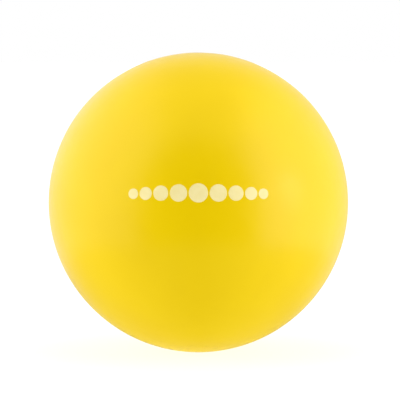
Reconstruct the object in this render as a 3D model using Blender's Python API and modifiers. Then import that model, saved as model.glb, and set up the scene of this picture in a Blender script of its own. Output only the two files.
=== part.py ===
"""Playground ball: a seamless moulded vinyl skin, a valve seat held in its boss, and a pull-out plug.

Metres, +Z up. The origin is the ball's centre, the valve looks along +Y and the printed front along -Y.
Each piece is turned about the valve axis, from a profile of (radius, height over the ball's centre).
"""

import math

import bmesh
import bpy

MM = 0.001

# Skin
BALL_DIAMETER = 216 * MM
SKIN_WALL = 1.8 * MM
CONTACT_PATCH_RADIUS = 9 * MM
LIP_ROUND = 0.5 * MM

# Boss: the skin's thick pad round the valve
BOSS_WALL = 2.2 * MM
BOSS_FLOOR = 5 * MM
BOSS_FILLET = 2.5 * MM
BOSS_CHAMFER = 0.8 * MM

# Valve seat
SEAT_RIM_WIDTH = 3.1 * MM
SEAT_FLOOR = 1.1 * MM
SEAT_SLEEVE_WALL = 2 * MM
SEAT_BARB_HEIGHT = 1.4 * MM
SEAT_BARB_LAND = 0.6 * MM
SEAT_BARB_LENGTH = 3 * MM
SEAT_TAIL = 1 * MM
SEAT_CHAMFER = 0.6 * MM
NOTCH_RADIUS = 1.4 * MM
NOTCH_DEPTH = 0.4 * MM

# Plug
PLUG_HEAD_OVERHANG = 1.8 * MM
PLUG_HEAD_THICKNESS = 1.2 * MM
PLUG_HEAD_SINK = 0.2 * MM
PLUG_SHANK_RADIUS = 2.4 * MM
PLUG_SHANK_LENGTH = 18 * MM
PLUG_RIB_HEIGHT = 0.4 * MM
PLUG_RIB_LAND = 0.4 * MM
PLUG_RIB_LENGTH = 1.8 * MM
PLUG_RIB_PITCH = 4 * MM
PLUG_TIP_CHAMFER = 0.6 * MM
PLUG_WALL = 1.3 * MM
PLUG_CORE_CAP = 4 * MM

# Fits and small edges
SEAM_GAP = 0.3 * MM
PLUG_CLEARANCE = 0.2 * MM
EDGE_ROUND = 0.35 * MM

# Facets
SKIN_SEGMENTS = 60
VALVE_SEGMENTS = 36
NOTCH_SEGMENTS = 16
QUADRANT_STEPS = 15
ROUND_STEPS = 4
DOME_STEPS = 3
SHARP_ANGLE = math.radians(35)
MERGE_DISTANCE = 0.01 * MM

# Ball, worked out
BALL_RADIUS = BALL_DIAMETER / 2
CAVITY_RADIUS = BALL_RADIUS - SKIN_WALL
FLOOR_HEIGHT = -math.sqrt(BALL_RADIUS**2 - CONTACT_PATCH_RADIUS**2)

# Plug, worked out from the outside in
HEAD_TOP = BALL_RADIUS - PLUG_HEAD_SINK
HEAD_UNDERSIDE = HEAD_TOP - PLUG_HEAD_THICKNESS
PLUG_TIP = HEAD_UNDERSIDE - PLUG_SHANK_LENGTH
RIB_RADIUS = PLUG_SHANK_RADIUS + PLUG_RIB_HEIGHT
HEAD_RADIUS = RIB_RADIUS + PLUG_HEAD_OVERHANG
CORE_RADIUS = PLUG_SHANK_RADIUS - PLUG_WALL
TIP_CHAMFER = min(PLUG_TIP_CHAMFER, PLUG_WALL / 2)
CORE_TOP = HEAD_UNDERSIDE - PLUG_CORE_CAP

# Seat, worked out round the plug
BORE_RADIUS = RIB_RADIUS + PLUG_CLEARANCE
RECESS_RADIUS = HEAD_RADIUS + SEAM_GAP
RECESS_FLOOR = HEAD_UNDERSIDE - SEAM_GAP
FLANGE_RADIUS = RECESS_RADIUS + SEAT_RIM_WIDTH
FLANGE_UNDERSIDE = RECESS_FLOOR - SEAT_FLOOR
SLEEVE_RADIUS = BORE_RADIUS + SEAT_SLEEVE_WALL

# Boss, worked out round the seat
POCKET_RADIUS = FLANGE_RADIUS + SEAM_GAP
POCKET_FLOOR = FLANGE_UNDERSIDE - SEAM_GAP
HOLE_RADIUS = SLEEVE_RADIUS + SEAM_GAP
BOSS_RADIUS = POCKET_RADIUS + BOSS_WALL
BOSS_END = POCKET_FLOOR - BOSS_FLOOR

# The seat's barb behind the boss, and its tail past both the barb and the plug's tip
BARB_TOP = BOSS_END - SEAM_GAP
BARB_RADIUS = SLEEVE_RADIUS + SEAT_BARB_HEIGHT
BARB_END = BARB_TOP - SEAT_BARB_LENGTH
SEAT_END = min(BARB_END, PLUG_TIP) - SEAT_TAIL

# Linear colours and roughness
VINYL_YELLOW = (0.86, 0.58, 0.001)
VINYL_ROUGHNESS = 0.31
SEAT_YELLOW = (0.80, 0.50, 0.008)
SEAT_ROUGHNESS = 0.45
PLUG_WHITE = (0.83, 0.81, 0.74)
PLUG_ROUGHNESS = 0.4


def clear_scene():
    for obj in list(bpy.data.objects):
        bpy.data.objects.remove(obj, do_unlink=True)


def new_collection(name):
    collection = bpy.data.collections.new(name)
    bpy.context.scene.collection.children.link(collection)
    return collection


def material(name, colour, roughness):
    made = bpy.data.materials.new(name)
    made.use_nodes = True
    shader = made.node_tree.nodes["Principled BSDF"]
    shader.inputs["Base Color"].default_value = (*colour, 1.0)
    shader.inputs["Roughness"].default_value = roughness
    shader.inputs["Metallic"].default_value = 0.0
    return made


def arc(centre, radius, start, end, steps):
    """Points of a circle in the profile's plane, with angles from the radius axis to the height axis."""
    angles = [start + (end - start) * i / steps for i in range(steps + 1)]
    return [(centre[0] + radius * math.cos(a), centre[1] + radius * math.sin(a)) for a in angles]


def mouth_round(wall, sphere, rounding):
    """The rounded edge where a hole's wall comes out through a sphere, from the wall outwards."""
    across = wall + rounding
    up = math.sqrt((sphere - rounding) ** 2 - across**2)
    return arc((across, up), rounding, math.pi, math.atan2(up, across), ROUND_STEPS)


def rim_round(wall, sphere, rounding):
    """The rounded edge where a disc's domed face meets its side wall, from the dome downwards."""
    across = wall - rounding
    up = math.sqrt((sphere - rounding) ** 2 - across**2)
    return arc((across, up), rounding, math.atan2(up, across), 0.0, ROUND_STEPS)


def sphere_down_from(point):
    """The rest of a sphere's meridian after a point on it, over the equator and down to the far pole."""
    radius = math.hypot(*point)
    to_equator = arc((0.0, 0.0), radius, math.atan2(point[1], point[0]), 0.0, QUADRANT_STEPS)
    to_pole = arc((0.0, 0.0), radius, 0.0, -math.pi / 2, QUADRANT_STEPS)
    return to_equator[1:] + to_pole[1:-1] + [(0.0, -radius)]


def dome_out_to(point):
    """A sphere's meridian from the valve axis out to a point on it, which is left off."""
    radius = math.hypot(*point)
    meridian = arc((0.0, 0.0), radius, math.pi / 2, math.atan2(point[1], point[0]), DOME_STEPS)
    return [(0.0, radius)] + meridian[1:-1]


def turned(name, profile, segments, axis, collection, closed=False):
    """A solid of revolution. An open profile starts and ends on the axis, and a closed one makes a ring."""
    line = bpy.data.meshes.new(name)
    edges = [(i, i + 1) for i in range(len(profile) - 1)]
    if closed:
        edges.append((len(profile) - 1, 0))
    line.from_pydata([(radius, 0.0, height) for radius, height in profile], edges, [])
    obj = bpy.data.objects.new(name, line)
    collection.objects.link(obj)
    screw = obj.modifiers.new("turn", "SCREW")
    screw.axis = "Z"
    screw.angle = 2 * math.pi
    screw.steps = segments
    screw.render_steps = segments
    screw.use_merge_vertices = True
    screw.merge_threshold = MERGE_DISTANCE
    # The turned faces become the object's own mesh, so that its sharp edges can be marked.
    graph = bpy.context.evaluated_depsgraph_get()
    solid = bpy.data.meshes.new_from_object(obj.evaluated_get(graph))
    obj.modifiers.clear()
    obj.data = solid
    bpy.data.meshes.remove(line)
    solid.name = name
    solid.shade_smooth()
    solid.set_sharp_from_angle(angle=SHARP_ANGLE)
    obj.parent = axis
    return obj


def cut(obj, cutter):
    """Takes the cutter's volume from the object, with the cutter kept out of renders."""
    boolean = obj.modifiers.new(cutter.name, "BOOLEAN")
    boolean.operation = "DIFFERENCE"
    boolean.object = cutter
    cutter.hide_render = True
    cutter.display_type = "WIRE"


def slab_below(name, top, collection):
    """A block as wide as the ball, with its upper face at that height in the world."""
    mesh = bpy.data.meshes.new(name)
    block = bmesh.new()
    bmesh.ops.create_cube(block, size=1.0)
    bmesh.ops.scale(block, vec=(BALL_DIAMETER, BALL_DIAMETER, BALL_RADIUS), verts=block.verts)
    bmesh.ops.translate(block, vec=(0.0, 0.0, top - BALL_RADIUS / 2), verts=block.verts)
    block.to_mesh(mesh)
    block.free()
    obj = bpy.data.objects.new(name, mesh)
    collection.objects.link(obj)
    return obj


def ball_cavity(axis, cutters):
    """The air space: a sphere with the boss standing into it, and flat over the contact patch."""
    boss_height = math.sqrt(CAVITY_RADIUS**2 - BOSS_RADIUS**2) - BOSS_END
    fillet = mouth_round(BOSS_RADIUS, CAVITY_RADIUS, min(BOSS_FILLET, boss_height / 2))
    profile = [(0.0, BOSS_END), (BOSS_RADIUS - BOSS_CHAMFER, BOSS_END)]
    profile += [(BOSS_RADIUS, BOSS_END + BOSS_CHAMFER)]
    profile += fillet
    profile += sphere_down_from(fillet[-1])
    cavity = turned("cavity", profile, SKIN_SEGMENTS, axis, cutters)
    cut(cavity, slab_below("cavity_floor", FLOOR_HEIGHT + SKIN_WALL, cutters))
    return cavity


def ball_skin(axis, parts, cutters):
    """The vinyl skin, with the seat's stepped pocket through its boss and the flat that it rests on."""
    lip = mouth_round(POCKET_RADIUS, BALL_RADIUS, LIP_ROUND)
    hole_end = BOSS_END - BOSS_FLOOR
    profile = [(0.0, hole_end), (HOLE_RADIUS, hole_end)]
    profile += [(HOLE_RADIUS, POCKET_FLOOR), (POCKET_RADIUS, POCKET_FLOOR)]
    profile += lip
    profile += sphere_down_from(lip[-1])
    skin = turned("ball_skin", profile, SKIN_SEGMENTS, axis, parts)
    cut(skin, slab_below("floor", FLOOR_HEIGHT, cutters))
    cut(skin, ball_cavity(axis, cutters))
    skin.data.materials.append(material("vinyl_skin", VINYL_YELLOW, VINYL_ROUGHNESS))
    return skin


def nail_notch(axis, cutters):
    """A scoop beside the plug's head, on the seat's upper side, that lets a fingernail under it."""
    bottom = RECESS_FLOOR - NOTCH_DEPTH
    height = BALL_RADIUS - bottom + NOTCH_RADIUS
    off_axis = RECESS_RADIUS + NOTCH_RADIUS / 2
    mesh = bpy.data.meshes.new("nail_notch")
    scoop = bmesh.new()
    bmesh.ops.create_cone(
        scoop,
        cap_ends=True,
        segments=NOTCH_SEGMENTS,
        radius1=NOTCH_RADIUS,
        radius2=NOTCH_RADIUS,
        depth=height,
    )
    bmesh.ops.translate(scoop, vec=(0.0, -off_axis, bottom + height / 2), verts=scoop.verts)
    scoop.to_mesh(mesh)
    scoop.free()
    obj = bpy.data.objects.new("nail_notch", mesh)
    cutters.objects.link(obj)
    obj.parent = axis
    return obj


def valve_seat(axis, parts, cutters):
    """The flanged sleeve that lines the boss: flush outside, barbed inside, and bored for the plug."""
    profile = mouth_round(RECESS_RADIUS, BALL_RADIUS, EDGE_ROUND)
    profile += rim_round(FLANGE_RADIUS, BALL_RADIUS, EDGE_ROUND)
    profile += [(FLANGE_RADIUS, FLANGE_UNDERSIDE), (SLEEVE_RADIUS, FLANGE_UNDERSIDE)]
    profile += [(SLEEVE_RADIUS, BARB_TOP), (BARB_RADIUS, BARB_TOP)]
    profile += [(BARB_RADIUS, BARB_TOP - SEAT_BARB_LAND), (SLEEVE_RADIUS, BARB_END)]
    profile += [(SLEEVE_RADIUS, SEAT_END + SEAT_CHAMFER), (SLEEVE_RADIUS - SEAT_CHAMFER, SEAT_END)]
    profile += [(BORE_RADIUS, SEAT_END), (BORE_RADIUS, RECESS_FLOOR - SEAT_CHAMFER)]
    profile += [(BORE_RADIUS + SEAT_CHAMFER, RECESS_FLOOR), (RECESS_RADIUS, RECESS_FLOOR)]
    seat = turned("valve_seat", profile, VALVE_SEGMENTS, axis, parts, closed=True)
    cut(seat, nail_notch(axis, cutters))
    seat.data.materials.append(material("vinyl_seat", SEAT_YELLOW, SEAT_ROUGHNESS))
    return seat


def rib_profile():
    """As many ribs as the shank has room for, each a barb with its slope towards the tip."""
    room = PLUG_SHANK_LENGTH - TIP_CHAMFER - PLUG_RIB_LENGTH
    profile = []
    for count in range(1, int(room / PLUG_RIB_PITCH) + 1):
        top = HEAD_UNDERSIDE - count * PLUG_RIB_PITCH
        profile += [(PLUG_SHANK_RADIUS, top), (RIB_RADIUS, top)]
        profile += [(RIB_RADIUS, top - PLUG_RIB_LAND), (PLUG_SHANK_RADIUS, top - PLUG_RIB_LENGTH)]
    return profile


def valve_plug(axis, parts):
    """The stopper: a domed head, a ribbed shank and the hollow core that lets the ribs give."""
    rim = rim_round(HEAD_RADIUS, HEAD_TOP, EDGE_ROUND)
    profile = dome_out_to(rim[0])
    profile += rim
    profile += [(HEAD_RADIUS, HEAD_UNDERSIDE), (PLUG_SHANK_RADIUS, HEAD_UNDERSIDE)]
    profile += rib_profile()
    profile += [(PLUG_SHANK_RADIUS, PLUG_TIP + TIP_CHAMFER)]
    profile += [(PLUG_SHANK_RADIUS - TIP_CHAMFER, PLUG_TIP), (CORE_RADIUS, PLUG_TIP)]
    profile += [(CORE_RADIUS, CORE_TOP), (0.0, CORE_TOP)]
    plug = turned("valve_plug", profile, VALVE_SEGMENTS, axis, parts)
    plug.data.materials.append(material("plug_plastic", PLUG_WHITE, PLUG_ROUGHNESS))
    return plug


def main():
    clear_scene()
    parts = new_collection("playground_ball")
    cutters = new_collection("cutters")
    axis = bpy.data.objects.new("valve_axis", None)
    axis.rotation_euler = (-math.pi / 2, 0.0, 0.0)
    parts.objects.link(axis)
    ball_skin(axis, parts, cutters)
    valve_seat(axis, parts, cutters)
    valve_plug(axis, parts)


main()
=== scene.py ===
import math

import bmesh
import bpy
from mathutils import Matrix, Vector, noise


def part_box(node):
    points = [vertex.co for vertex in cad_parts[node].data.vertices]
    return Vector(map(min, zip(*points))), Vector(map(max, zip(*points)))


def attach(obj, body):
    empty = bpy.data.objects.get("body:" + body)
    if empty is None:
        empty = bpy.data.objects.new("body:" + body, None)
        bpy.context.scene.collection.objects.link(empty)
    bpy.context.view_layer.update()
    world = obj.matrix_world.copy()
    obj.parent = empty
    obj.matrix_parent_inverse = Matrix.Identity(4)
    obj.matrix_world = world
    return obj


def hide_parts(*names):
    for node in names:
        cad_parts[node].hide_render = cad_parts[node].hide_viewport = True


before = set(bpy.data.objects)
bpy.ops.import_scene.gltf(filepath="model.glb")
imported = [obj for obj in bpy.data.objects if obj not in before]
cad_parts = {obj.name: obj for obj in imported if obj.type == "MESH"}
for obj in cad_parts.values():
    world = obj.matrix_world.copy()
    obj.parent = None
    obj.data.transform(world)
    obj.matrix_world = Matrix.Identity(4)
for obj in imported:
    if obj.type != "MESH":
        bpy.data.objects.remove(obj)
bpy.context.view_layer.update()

MM = 0.001

# The ball's sizes, read off the frame, whose origin is the ball's centre and whose valve looks along +Y
skin_low, skin_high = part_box("ball_skin")
seat_low, seat_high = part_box("valve_seat")
plug_low, plug_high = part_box("valve_plug")
BALL_RADIUS = skin_high.x
FLOOR = skin_low.z
FLANGE_RADIUS = seat_high.x
SEAT_END = seat_low.y
HEAD_RADIUS = plug_high.x
HEAD_TOP = plug_high.y
PLUG_TIP = plug_low.y

# Sizes that the frame's boxes don't give
SEAM_GAP = 0.3 * MM
SKIN_WALL = 1.8 * MM
LIP_ROUND = 0.5 * MM
EDGE_ROUND = 0.35 * MM
BOSS_WALL = 2.2 * MM
BOSS_FLOOR = 5 * MM
BOSS_FILLET = 2.5 * MM
BOSS_CHAMFER = 0.8 * MM
SEAT_FLOOR = 1.1 * MM
SLEEVE_WALL = 2 * MM
BARB_HEIGHT = 1.4 * MM
BARB_LAND = 0.6 * MM
BARB_LENGTH = 3 * MM
SEAT_CHAMFER = 0.6 * MM
NOTCH_RADIUS = 1.4 * MM
NOTCH_DEPTH = 0.4 * MM
HEAD_THICKNESS = 1.2 * MM
HEAD_OVERHANG = 1.8 * MM
PLUG_CLEARANCE = 0.2 * MM
RIB_HEIGHT = 0.4 * MM
RIB_LAND = 0.4 * MM
RIB_LENGTH = 1.8 * MM
RIB_PITCH = 4 * MM
TIP_CHAMFER = 0.6 * MM
PLUG_WALL = 1.3 * MM
CORE_CAP = 4 * MM
GATE_RADIUS = 1.3 * MM
GATE_DEPTH = 0.18 * MM
GATE_STEEPNESS = 4

# Valve heights and radii, worked out from the plug outwards
HEAD_UNDERSIDE = HEAD_TOP - HEAD_THICKNESS
RIB_RADIUS = HEAD_RADIUS - HEAD_OVERHANG
SHANK_RADIUS = RIB_RADIUS - RIB_HEIGHT
BORE_RADIUS = RIB_RADIUS + PLUG_CLEARANCE
RECESS_RADIUS = HEAD_RADIUS + SEAM_GAP
RECESS_FLOOR = HEAD_UNDERSIDE - SEAM_GAP
FLANGE_UNDERSIDE = RECESS_FLOOR - SEAT_FLOOR
SLEEVE_RADIUS = BORE_RADIUS + SLEEVE_WALL
POCKET_RADIUS = FLANGE_RADIUS + SEAM_GAP
POCKET_FLOOR = FLANGE_UNDERSIDE - SEAM_GAP
HOLE_RADIUS = SLEEVE_RADIUS + SEAM_GAP
BOSS_RADIUS = POCKET_RADIUS + BOSS_WALL
BOSS_END = POCKET_FLOOR - BOSS_FLOOR
BARB_TOP = BOSS_END - SEAM_GAP
CAVITY_RADIUS = BALL_RADIUS - SKIN_WALL

# Mould parting line round the middle, trimmed flush but for a faint ridge
SEAM_RIDGE = 0.2 * MM
SEAM_HALF_WIDTH = 0.8 * MM
SEAM_BAND = 3 * MM
SEAM_BAND_STEPS = 20
SEAM_WAVES = 9.0
SEAM_TRIM = (0.65, 0.35)

# Soft edge of the flat that the ball rests on: its width, and its reach in such widths
PATCH_EDGE = 0.06 * MM
PATCH_REACH = 30.0

# Print on the front: a row of plain discs, the largest in the middle
PRINT_ELEVATION = math.radians(7.45)
PRINT_DISC_RADII = [6.5 * MM, 5.9 * MM, 5.2 * MM, 4.4 * MM, 3.6 * MM]
PRINT_GAP = 1.1 * MM
INK_THICKNESS = 0.05 * MM
INK_SINK = 0.06 * MM

# The film's section, as shares of a disc's radius and of the ink's thickness
INK_PROFILE = [(0.35, 1.0), (0.7, 1.0), (0.93, 1.0), (0.98, 0.8), (1.0, 0.3)]

# Facets
SKIN_SEGMENTS = 192
QUADRANT_STEPS = 48
VALVE_SEGMENTS = 96
ROUND_STEPS = 8
DOME_STEPS = 24
DISC_SEGMENTS = 64
STAGE_SEGMENTS = 96
SHARP_ANGLE = math.radians(35)

# Camera, at the photograph's viewing angle and framing
FRAME_PIXELS = 400
BALL_CENTRE_PIXEL = (198.4, 202.5)
BALL_RADIUS_PIXELS = 149.8
CAMERA_ELEVATION = math.radians(4)
CAMERA_DISTANCE = 1.6
SENSOR_WIDTH = 36.0

# Light tent, with a radiance of 1 for white and its edges along the unit vector from the ball's centre
TENT_RADIUS = 12.0
TOP_LEVEL = 0.30
BACK_LEVEL = 0.8
BACK_EDGE = (0.5, 1.0)
LEFT_LEVEL = 0.92
LEFT_SLOPE = 0.2
LEFT_LOW = 0.87
LEFT_STEP = (-0.08, 0.08)
RIGHT_LEVEL = 1.03
RIGHT_SLOPE = -0.35
HOT_AIM = (0.954, -0.257, 0.152)
HOT_EDGE = 0.972
HOT_LEVEL = 1.5
BOX_MIDDLE = 0.04
BOX_LEAN = 0.2
BOX_EDGE = (0.24, 0.58)
SIDES_BLEND = (-0.15, 0.15)
FAR_LEAN = 0.5
FAR_EDGE = (0.65, 1.1)
FAR_LEVEL = 0.55
FRONT_LEVEL = 0.03
FRONT_LEAN = -0.1
FRONT_EDGE = (-0.76, -0.62)

# Table top in the tent, whose own edge is in metres from the ball's centre. Its light is painted: painted
# shade near the ball, as if in the ball's shadow, lighter beside and behind it, and a painted glow right
# under the ball
TABLE_EDGE = (0.255, 0.325)
TABLE_PAINTED_SHADE = 0.165
TABLE_SIDE = 0.21
TABLE_DROP = 0.1 * MM
TABLE_BACK = 0.3
TABLE_BACK_EDGE = (0.0, 0.5)
TABLE_PAINTED_GLOW = 0.18
TABLE_PAINTED_GLOW_RADIUS = 50 * MM

# Pale floor that the camera sees: a grey that catches the shadow, lifted to white with the distance
FLOOR_COLOUR = (0.25, 0.25, 0.25)
FLOOR_LIFT = 0.8
FLOOR_FADE = (0.11, 0.25)
FLOOR_RADIUS = 30.0

# Soft lamps that even out the light on the ball: place from its centre, size across and deep, and watts
FILL_SIZE = (1.5, 1.5)
GLOW_SIZE = (0.3, 0.1)
STRIP_SIZE = (0.05, 0.12)
LAMPS = {
    "front_fill": ((0, -2.5, 0.2), FILL_SIZE, 37.0),
    "bottom_fill": ((0, 0, -2.5), FILL_SIZE, 15.5),
    "left_fill": ((-2.5, 0, 0.2), FILL_SIZE, 38.0),
    "right_fill": ((2.5, 0, 0.2), FILL_SIZE, 30.5),
    "right_rim": ((1.8, 1.8, 0), FILL_SIZE, 15.5),
    "top_glow": ((0, 0, 0.3), GLOW_SIZE, 0.24),
    "bottom_glow": ((0, 0, -0.18), GLOW_SIZE, 0.145),
    "high_strip": ((0, -0.2, 0.2), STRIP_SIZE, 0.04),
    "low_strip": ((0, -0.2, -0.2), STRIP_SIZE, 0.075),
}

# Colours, linear
WHITE = (1.0, 1.0, 1.0)
VINYL_YELLOW = (0.846, 0.594, 0.001)
VINYL_DEEP = (0.824, 0.572, 0.001)
SEAT_YELLOW = (0.80, 0.50, 0.008)
SEAT_DEEP = (0.74, 0.45, 0.005)
PLUG_WHITE = (0.83, 0.81, 0.74)
PLUG_IVORY = (0.78, 0.75, 0.65)
INK_CREAM = (0.93, 0.815, 0.40)
INK_THIN = (0.90, 0.775, 0.34)

# Surface detail: noise scales per metre, roughness ranges, and grains as (scale, height)
CLOUD_DETAIL = 4.0
CLOUD_EDGE = (0.3, 0.7)
GLOSS_SCALE = 160.0
GLOSS_DETAIL = 6.0
GLOSS_EDGE = (0.25, 0.75)
GRAIN_DETAIL = 3.0
VINYL_CLOUDS = 22.0
VALVE_CLOUDS = 180.0
INK_CLOUDS = 140.0
VINYL_ROUGHNESS = (0.28, 0.34)
SEAT_ROUGHNESS = (0.4, 0.5)
PLUG_ROUGHNESS = (0.35, 0.45)
INK_ROUGHNESS = (0.35, 0.45)
VINYL_GRAINS = [(1100.0, 0.012 * MM), (120.0, 0.05 * MM)]
VALVE_GRAINS = [(1800.0, 0.012 * MM)]
INK_GRAINS = [(2500.0, 0.006 * MM), (400.0, 0.01 * MM)]


def arc(centre, radius, start, end, steps):
    """Points of a circle in a profile's plane, with angles from the radius axis to the height axis."""
    angles = [start + (end - start) * i / steps for i in range(steps + 1)]
    return [(centre[0] + radius * math.cos(a), centre[1] + radius * math.sin(a)) for a in angles]


def mouth_round(wall, sphere, rounding):
    """The rounding outwards from a wall along the axis to a sphere, as at a hole's lip or a boss's foot."""
    across = wall + rounding
    up = math.sqrt((sphere - rounding) ** 2 - across**2)
    return arc((across, up), rounding, math.pi, math.atan2(up, across), ROUND_STEPS)


def rim_round(wall, sphere, rounding):
    """The rounding from a domed face down to the wall along the axis that it ends at."""
    across = wall - rounding
    up = math.sqrt((sphere - rounding) ** 2 - across**2)
    return arc((across, up), rounding, math.atan2(up, across), 0.0, ROUND_STEPS)


def turns(segments):
    """The angles of one full turn in equal steps."""
    return [2 * math.pi * i / segments for i in range(segments)]


def bridge(shape, rings):
    """Faces from each ring of points to the next, where a ring of one point is a pole."""
    for upper, lower in zip(rings, rings[1:]):
        for i in range(max(len(upper), len(lower))):
            corners = [upper[i % len(upper)], upper[(i + 1) % len(upper)]]
            corners += [lower[(i + 1) % len(lower)], lower[i % len(lower)]]
            shape.faces.new(list(dict.fromkeys(corners)))


def turned(name, profile, segments, closed=False):
    """A solid of revolution about the valve axis, from (radius, height along +Y) points."""
    shape = bmesh.new()
    rings = []
    for radius, height in profile:
        angles = turns(segments) if radius > 0 else [0.0]
        rings.append(
            [shape.verts.new((radius * math.cos(a), height, radius * math.sin(a))) for a in angles]
        )
    bridge(shape, rings + rings[:1] if closed else rings)
    bmesh.ops.recalc_face_normals(shape, faces=shape.faces)
    return finished(name, shape)


def finished(name, shape):
    """A smooth-shaded object from a bmesh, with its sharp edges marked."""
    mesh = bpy.data.meshes.new(name)
    shape.to_mesh(mesh)
    shape.free()
    mesh.shade_smooth()
    mesh.set_sharp_from_angle(angle=SHARP_ANGLE)
    obj = bpy.data.objects.new(name, mesh)
    bpy.context.scene.collection.objects.link(obj)
    return obj


def outer_meridian(start):
    """The skin's outside from the valve's lip to the far pole, with fine steps at the parting line."""
    band = SEAM_BAND / BALL_RADIUS
    first = arc((0, 0), BALL_RADIUS, math.atan2(start[1], start[0]), band, QUADRANT_STEPS)
    seam = arc((0, 0), BALL_RADIUS, band, -band, SEAM_BAND_STEPS)
    last = arc((0, 0), BALL_RADIUS, -band, -math.pi / 2, QUADRANT_STEPS)
    return first[1:] + seam[1:] + last[1:-1] + [(0.0, -BALL_RADIUS)]


def skin_profile():
    """The skin's wall as one line: up the cavity, round the boss, through the pocket and down outside."""
    fillet = mouth_round(BOSS_RADIUS, CAVITY_RADIUS, BOSS_FILLET)
    start = math.atan2(fillet[-1][1], fillet[-1][0])
    cavity = arc((0, 0), CAVITY_RADIUS, -math.pi / 2, start, QUADRANT_STEPS)
    profile = [(0.0, -CAVITY_RADIUS)] + cavity[1:-1]
    profile += fillet[::-1]
    profile += [(BOSS_RADIUS, BOSS_END + BOSS_CHAMFER), (BOSS_RADIUS - BOSS_CHAMFER, BOSS_END)]
    profile += [(HOLE_RADIUS, BOSS_END), (HOLE_RADIUS, POCKET_FLOOR), (POCKET_RADIUS, POCKET_FLOOR)]
    lip = mouth_round(POCKET_RADIUS, BALL_RADIUS, LIP_ROUND)
    profile += lip
    profile += outer_meridian(lip[-1])
    return profile


def seam_height(point):
    """The parting line's ridge over the round skin, trimmed unevenly along its way."""
    across = point.y / SEAM_HALF_WIDTH
    along = point.normalized() * SEAM_WAVES
    trimmed = SEAM_TRIM[0] + SEAM_TRIM[1] * noise.noise(along)
    return SEAM_RIDGE * trimmed * math.exp(-across * across)


def soft_floor(height, floor):
    """The height over a floor that a soft skin presses flat, with a short smooth bend at the edge."""
    over = (height - floor) / PATCH_EDGE
    if over > PATCH_REACH:
        return height
    return floor + PATCH_EDGE * math.log1p(math.exp(over)) * (1 - math.exp(-math.exp(over)))


def ball_surface():
    """The skin, with the ridge of its parting line, pressed flat where it rests."""
    skin = turned("ball_surface", skin_profile(), SKIN_SEGMENTS)
    for vertex in skin.data.vertices:
        point = vertex.co
        outside = point.length > BALL_RADIUS - SKIN_WALL / 2
        if outside and abs(point.y) < SEAM_BAND:
            point += point.normalized() * seam_height(point)
        floor = FLOOR if outside else FLOOR + SKIN_WALL
        point.z = soft_floor(point.z, floor)
    return skin


def seat_moulding():
    """The flanged sleeve that lines the boss, with a barb behind it."""
    barb_end = BARB_TOP - BARB_LENGTH
    barb_radius = SLEEVE_RADIUS + BARB_HEIGHT
    profile = mouth_round(RECESS_RADIUS, BALL_RADIUS, EDGE_ROUND)
    profile += rim_round(FLANGE_RADIUS, BALL_RADIUS, EDGE_ROUND)
    profile += [(FLANGE_RADIUS, FLANGE_UNDERSIDE), (SLEEVE_RADIUS, FLANGE_UNDERSIDE)]
    profile += [(SLEEVE_RADIUS, BARB_TOP), (barb_radius, BARB_TOP)]
    profile += [(barb_radius, BARB_TOP - BARB_LAND), (SLEEVE_RADIUS, barb_end)]
    profile += [(SLEEVE_RADIUS, SEAT_END + SEAT_CHAMFER), (SLEEVE_RADIUS - SEAT_CHAMFER, SEAT_END)]
    profile += [(BORE_RADIUS, SEAT_END), (BORE_RADIUS, RECESS_FLOOR - SEAT_CHAMFER)]
    profile += [(BORE_RADIUS + SEAT_CHAMFER, RECESS_FLOOR), (RECESS_RADIUS, RECESS_FLOOR)]
    seat = turned("seat_moulding", profile, VALVE_SEGMENTS, closed=True)
    cut_notch(seat)
    return seat


def cut_notch(seat):
    """Cuts the fingernail notch beside the plug's head."""
    bottom = RECESS_FLOOR - NOTCH_DEPTH
    top = BALL_RADIUS + NOTCH_RADIUS
    scoop = turned(
        "notch_cutter",
        [(0.0, top), (NOTCH_RADIUS, top), (NOTCH_RADIUS, bottom), (0.0, bottom)],
        VALVE_SEGMENTS,
    )
    scoop.location.z = RECESS_RADIUS + NOTCH_RADIUS / 2
    # Half a step round, so that none of its corners falls on one of the seat's
    scoop.rotation_euler.y = math.pi / VALVE_SEGMENTS
    boolean = seat.modifiers.new("notch", "BOOLEAN")
    boolean.operation = "DIFFERENCE"
    boolean.object = scoop
    graph = bpy.context.evaluated_depsgraph_get()
    mesh = bpy.data.meshes.new_from_object(seat.evaluated_get(graph))
    seat.modifiers.clear()
    seat.data = mesh
    mesh.set_sharp_from_angle(angle=SHARP_ANGLE)
    bpy.data.objects.remove(scoop, do_unlink=True)


def gate_dimple(radius):
    """The depth of the mould gate's dimple, at a radius on the plug's head."""
    return GATE_DEPTH * math.exp(-((radius / GATE_RADIUS) ** GATE_STEEPNESS))


def plug_moulding():
    """The stopper, with a dimple in its domed head, ribs on its shank and a hollow core."""
    rim = rim_round(HEAD_RADIUS, HEAD_TOP, EDGE_ROUND)
    dome = arc((0, 0), HEAD_TOP, math.pi / 2, math.atan2(rim[0][1], rim[0][0]), DOME_STEPS)
    head = [(0.0, HEAD_TOP)] + dome[1:-1] + rim
    profile = [(radius, height - gate_dimple(radius)) for radius, height in head]
    profile += [(HEAD_RADIUS, HEAD_UNDERSIDE), (SHANK_RADIUS, HEAD_UNDERSIDE)]
    room = HEAD_UNDERSIDE - PLUG_TIP - TIP_CHAMFER - RIB_LENGTH
    for count in range(1, int(room / RIB_PITCH) + 1):
        top = HEAD_UNDERSIDE - count * RIB_PITCH
        profile += [(SHANK_RADIUS, top), (RIB_RADIUS, top)]
        profile += [(RIB_RADIUS, top - RIB_LAND), (SHANK_RADIUS, top - RIB_LENGTH)]
    core_radius = SHANK_RADIUS - PLUG_WALL
    core_top = HEAD_UNDERSIDE - CORE_CAP
    profile += [(SHANK_RADIUS, PLUG_TIP + TIP_CHAMFER), (SHANK_RADIUS - TIP_CHAMFER, PLUG_TIP)]
    profile += [(core_radius, PLUG_TIP), (core_radius, core_top), (0.0, core_top)]
    return turned("plug_moulding", profile, VALVE_SEGMENTS)


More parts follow.
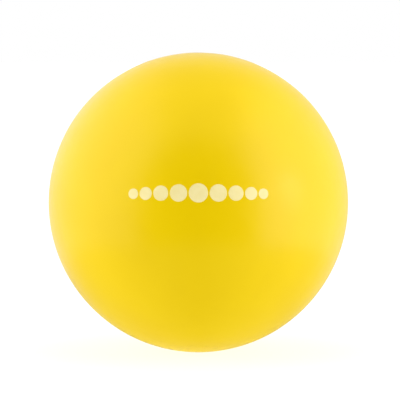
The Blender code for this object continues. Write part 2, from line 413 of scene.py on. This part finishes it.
def print_discs():
    """(offset along the row, radius) of each disc, from the middle outwards to both sides."""
    discs = [(0.0, PRINT_DISC_RADII[0])]
    offset = PRINT_DISC_RADII[0]
    for radius in PRINT_DISC_RADII[1:]:
        offset += PRINT_GAP + radius
        discs += [(offset, radius), (-offset, radius)]
        offset += radius
    return discs


def add_disc(shape, offset, radius):
    """A round film of ink on the ball, at a distance along the row from its middle."""
    turn = offset / BALL_RADIUS
    rise = PRINT_ELEVATION
    out = Vector((math.sin(turn), -math.cos(turn) * math.cos(rise), math.cos(turn) * math.sin(rise)))
    right = Vector((math.cos(turn), math.sin(turn) * math.cos(rise), -math.sin(turn) * math.sin(rise)))
    up = right.cross(out)
    levels = [(share * radius, lift * INK_THICKNESS) for share, lift in INK_PROFILE]
    levels += [(radius, -INK_SINK), (radius / 2, -INK_SINK)]

    def place(distance, angle, lift):
        tilt = distance / BALL_RADIUS
        side = right * math.cos(angle) + up * math.sin(angle)
        return (out * math.cos(tilt) + side * math.sin(tilt)) * (BALL_RADIUS + lift)

    rings = [[shape.verts.new(place(0, 0, INK_THICKNESS))]]
    for distance, lift in levels:
        rings.append([shape.verts.new(place(distance, a, lift)) for a in turns(DISC_SEGMENTS)])
    rings.append([shape.verts.new(place(0, 0, -INK_SINK))])
    bridge(shape, rings)


def front_print():
    """The row of discs, as one film of ink."""
    shape = bmesh.new()
    for offset, radius in print_discs():
        add_disc(shape, offset, radius)
    bmesh.ops.recalc_face_normals(shape, faces=shape.faces)
    return finished("front_print", shape)


class Nodes:
    """A node tree with short calls for the nodes that the materials use."""

    def __init__(self, owner):
        owner.use_nodes = True
        self.tree = owner.node_tree
        self.tree.nodes.clear()

    def add(self, kind, inputs=None, **settings):
        node = self.tree.nodes.new(kind)
        for name, value in settings.items():
            setattr(node, name, value)
        for name, value in (inputs or {}).items():
            self.put(node.inputs[name], value)
        return node

    def put(self, socket, value):
        if isinstance(value, bpy.types.NodeSocket):
            self.tree.links.new(value, socket)
        else:
            socket.default_value = value

    def maths(self, operation, first, second=0.0):
        return self.add("ShaderNodeMath", {0: first, 1: second}, operation=operation).outputs[0]

    def smooth(self, value, low, high, start=0.0, end=1.0):
        inputs = {"Value": value, "From Min": low, "From Max": high, "To Min": start, "To Max": end}
        return self.add("ShaderNodeMapRange", inputs, interpolation_type="SMOOTHSTEP").outputs["Result"]

    def noise(self, scale, detail, place):
        inputs = {"Vector": place, "Scale": scale, "Detail": detail}
        return self.add("ShaderNodeTexNoise", inputs).outputs["Fac"]

    def line(self, value, slope, offset):
        inputs = {0: value, 1: slope, 2: offset}
        return self.add("ShaderNodeMath", inputs, operation="MULTIPLY_ADD").outputs[0]

    def blend(self, share, first, second, kind="FLOAT"):
        inputs = {"Factor": share, "A": first, "B": second}
        return self.add("ShaderNodeMix", inputs, data_type=kind).outputs["Result"]

    def vector(self, operation, first, second=(0, 0, 0)):
        return self.add("ShaderNodeVectorMath", {0: first, 1: second}, operation=operation).outputs

    def glow(self, strength):
        return self.add("ShaderNodeEmission", {"Color": rgba(WHITE), "Strength": strength}).outputs[0]

    def show(self, shader, output="ShaderNodeOutputMaterial"):
        self.put(self.add(output).inputs["Surface"], shader)


def rgba(colour):
    return (*colour, 1.0)


def plastic(name, colours, cloud_scale, roughness, grains):
    """A moulded plastic: cloudy colour, uneven gloss, and grains of bump as (scale, height) pairs."""
    material = bpy.data.materials.new(name)
    nodes = Nodes(material)
    place = nodes.add("ShaderNodeTexCoord").outputs["Object"]
    cloud = nodes.smooth(nodes.noise(cloud_scale, CLOUD_DETAIL, place), *CLOUD_EDGE)
    gloss = nodes.noise(GLOSS_SCALE, GLOSS_DETAIL, place)
    inputs = {
        "Base Color": nodes.blend(cloud, rgba(colours[0]), rgba(colours[1]), "RGBA"),
        "Roughness": nodes.smooth(gloss, *GLOSS_EDGE, *roughness),
    }
    shader = nodes.add("ShaderNodeBsdfPrincipled", inputs)
    surface = shader.inputs["Normal"]
    for scale, height in grains:
        grain = nodes.noise(scale, GRAIN_DETAIL, place)
        bump = nodes.add("ShaderNodeBump", {"Height": grain, "Distance": height})
        nodes.put(surface, bump.outputs[0])
        surface = bump.inputs["Normal"]
    nodes.show(shader.outputs[0])
    return material


def wear(piece, body, material):
    """Puts the piece on its body with its material."""
    piece.data.materials.clear()
    piece.data.materials.append(material)
    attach(piece, body)
    return piece


def tent(nodes, direction):
    """Radiance of the light tent: a softbox at each side, dim overhead and dark on the camera's side."""
    split = nodes.add("ShaderNodeSeparateXYZ", {0: direction})
    x, y, z = split.outputs
    left = nodes.line(y, LEFT_SLOPE, LEFT_LEVEL)
    left = nodes.maths("MULTIPLY", left, nodes.smooth(z, *LEFT_STEP, LEFT_LOW, 1.0))
    aim = nodes.vector("DOT_PRODUCT", direction, HOT_AIM)["Value"]
    hot = nodes.smooth(aim, HOT_EDGE, 1.0, 0.0, HOT_LEVEL)
    right = nodes.maths("ADD", nodes.line(y, RIGHT_SLOPE, RIGHT_LEVEL), hot)
    side = nodes.blend(nodes.smooth(x, *SIDES_BLEND), left, right)
    fade = nodes.smooth(nodes.line(y, FAR_LEAN, z), *FAR_EDGE, 1.0, FAR_LEVEL)
    over = nodes.smooth(y, *BACK_EDGE, TOP_LEVEL, BACK_LEVEL)
    aside = nodes.maths("ABSOLUTE", nodes.maths("SUBTRACT", x, BOX_MIDDLE))
    box = nodes.smooth(nodes.line(y, BOX_LEAN, aside), *BOX_EDGE)
    lit = nodes.blend(box, over, nodes.maths("MULTIPLY", side, fade))
    front = nodes.smooth(nodes.line(z, FRONT_LEAN, y), *FRONT_EDGE, FRONT_LEVEL, 1.0)
    return nodes.maths("MULTIPLY", lit, front)


def white_backdrop():
    """A plain white world, which the camera sees behind the ball."""
    world = bpy.data.worlds.new("white_backdrop")
    world.cycles.sampling_method = "NONE"
    bpy.context.scene.world = world
    nodes = Nodes(world)
    background = nodes.add("ShaderNodeBackground", {"Color": rgba(WHITE), "Strength": 1.0})
    nodes.show(background.outputs[0], "ShaderNodeOutputWorld")


def stage_disc(radius):
    """A flat disc, as a bmesh."""
    shape = bmesh.new()
    bmesh.ops.create_circle(shape, cap_ends=True, segments=STAGE_SEGMENTS, radius=radius)
    return shape


def staged(name, shape):
    """A piece of the stage, and the nodes of its material."""
    piece = finished(name, shape)
    material = bpy.data.materials.new(name)
    material.cycles.emission_sampling = "NONE"
    piece.data.materials.append(material)
    return piece, Nodes(material)


def light_tent():
    """The tent round the ball, which lights it and shows in its gloss. The camera looks through it."""
    shape = bmesh.new()
    rings = STAGE_SEGMENTS // 2
    bmesh.ops.create_uvsphere(shape, u_segments=STAGE_SEGMENTS, v_segments=rings, radius=TENT_RADIUS)
    dome, nodes = staged("light_tent", shape)
    place = nodes.add("ShaderNodeNewGeometry").outputs["Position"]
    nodes.show(nodes.glow(tent(nodes, nodes.vector("NORMALIZE", place)["Vector"])))
    dome.visible_camera = False
    dome.visible_transmission = False


def table_top():
    """The table as the ball mirrors it: painted shade near the ball, as if in its shadow, with a painted
    glow right under it, and as bright as the tent farther off.
    """
    table, nodes = staged("table_top", stage_disc(TENT_RADIUS))
    table.location.z = FLOOR - TABLE_DROP
    place = nodes.add("ShaderNodeNewGeometry").outputs["Position"]
    direction = nodes.vector("NORMALIZE", place)["Vector"]
    x, y, _ = nodes.add("ShaderNodeSeparateXYZ", {0: direction}).outputs
    away = nodes.vector("LENGTH", place)["Value"]
    # Painted shade near the ball, lighter beside and behind it, plus a painted glow right under the ball
    behind = nodes.smooth(y, *TABLE_BACK_EDGE, TABLE_PAINTED_SHADE, TABLE_PAINTED_SHADE + TABLE_BACK)
    beside = nodes.line(nodes.maths("ABSOLUTE", x), TABLE_SIDE, behind)
    painted_glow = nodes.smooth(away, -FLOOR, math.hypot(FLOOR, TABLE_PAINTED_GLOW_RADIUS), TABLE_PAINTED_GLOW, 0.0)
    near = nodes.maths("ADD", beside, painted_glow)
    far = nodes.smooth(away, *TABLE_EDGE)
    nodes.show(nodes.glow(nodes.blend(far, near, tent(nodes, direction))))
    table.visible_camera = False
    table.visible_transmission = False
    table.visible_shadow = False


def studio_floor():
    """The pale floor that the camera sees, with the ball's shadow on it."""
    floor, nodes = staged("studio_floor", stage_disc(FLOOR_RADIUS))
    floor.location.z = FLOOR
    place = nodes.add("ShaderNodeNewGeometry").outputs["Position"]
    lift = nodes.smooth(nodes.vector("LENGTH", place)["Value"], *FLOOR_FADE, FLOOR_LIFT, 1.0)
    matte = nodes.add("ShaderNodeBsdfDiffuse", {"Color": rgba(FLOOR_COLOUR)})
    both = nodes.add("ShaderNodeAddShader", {0: nodes.glow(lift), 1: matte.outputs[0]})
    nodes.show(both.outputs[0])
    floor.visible_diffuse = False
    floor.visible_glossy = False
    floor.visible_shadow = False


def soft_lamp(name, place, size, power):
    """A lamp aimed at the ball that adds light without a reflection of its own."""
    data = bpy.data.lights.new(name, "AREA")
    data.shape = "ELLIPSE"
    data.size, data.size_y = size
    data.energy = power
    data.cycles.use_multiple_importance_sampling = False
    lamp = bpy.data.objects.new(name, data)
    bpy.context.scene.collection.objects.link(lamp)
    lamp.location = place
    lamp.rotation_euler = (-Vector(place)).to_track_quat("-Z", "Y").to_euler()
    lamp.visible_camera = False
    lamp.visible_glossy = False


def photo_camera():
    """A long lens that frames the ball as the photograph does."""
    data = bpy.data.cameras.new("photo_camera")
    camera = bpy.data.objects.new("photo_camera", data)
    bpy.context.scene.collection.objects.link(camera)
    half_angle = math.asin(BALL_RADIUS / CAMERA_DISTANCE)
    focal_pixels = BALL_RADIUS_PIXELS / math.tan(half_angle)
    data.sensor_width = SENSOR_WIDTH
    data.lens = focal_pixels * SENSOR_WIDTH / FRAME_PIXELS
    away = Vector((0, -math.cos(CAMERA_ELEVATION), math.sin(CAMERA_ELEVATION)))
    camera.location = away * CAMERA_DISTANCE
    camera.rotation_euler = (-away).to_track_quat("-Z", "Y").to_euler()
    data.shift_x = (FRAME_PIXELS / 2 - BALL_CENTRE_PIXEL[0]) / FRAME_PIXELS
    data.shift_y = (BALL_CENTRE_PIXEL[1] - FRAME_PIXELS / 2) / FRAME_PIXELS
    bpy.context.scene.camera = camera


photo_camera()
white_backdrop()
light_tent()
table_top()
studio_floor()
for lamp_name, lamp_values in LAMPS.items():
    soft_lamp(lamp_name, *lamp_values)
bpy.context.scene.view_settings.view_transform = "Standard"

vinyl = plastic(
    "vinyl_skin", (VINYL_YELLOW, VINYL_DEEP), VINYL_CLOUDS, VINYL_ROUGHNESS, VINYL_GRAINS
)
seat_vinyl = plastic(
    "vinyl_seat", (SEAT_YELLOW, SEAT_DEEP), VALVE_CLOUDS, SEAT_ROUGHNESS, VALVE_GRAINS
)
plug_plastic = plastic(
    "plug_plastic", (PLUG_WHITE, PLUG_IVORY), VALVE_CLOUDS, PLUG_ROUGHNESS, VALVE_GRAINS
)
ink = plastic("print_ink", (INK_CREAM, INK_THIN), INK_CLOUDS, INK_ROUGHNESS, INK_GRAINS)

skin_piece = wear(ball_surface(), "ball", vinyl)
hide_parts("ball_skin")
wear(front_print(), "ball", ink)
seat_piece = wear(seat_moulding(), "ball", seat_vinyl)
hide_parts("valve_seat")
plug_piece = wear(plug_moulding(), "plug", plug_plastic)
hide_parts("valve_plug")
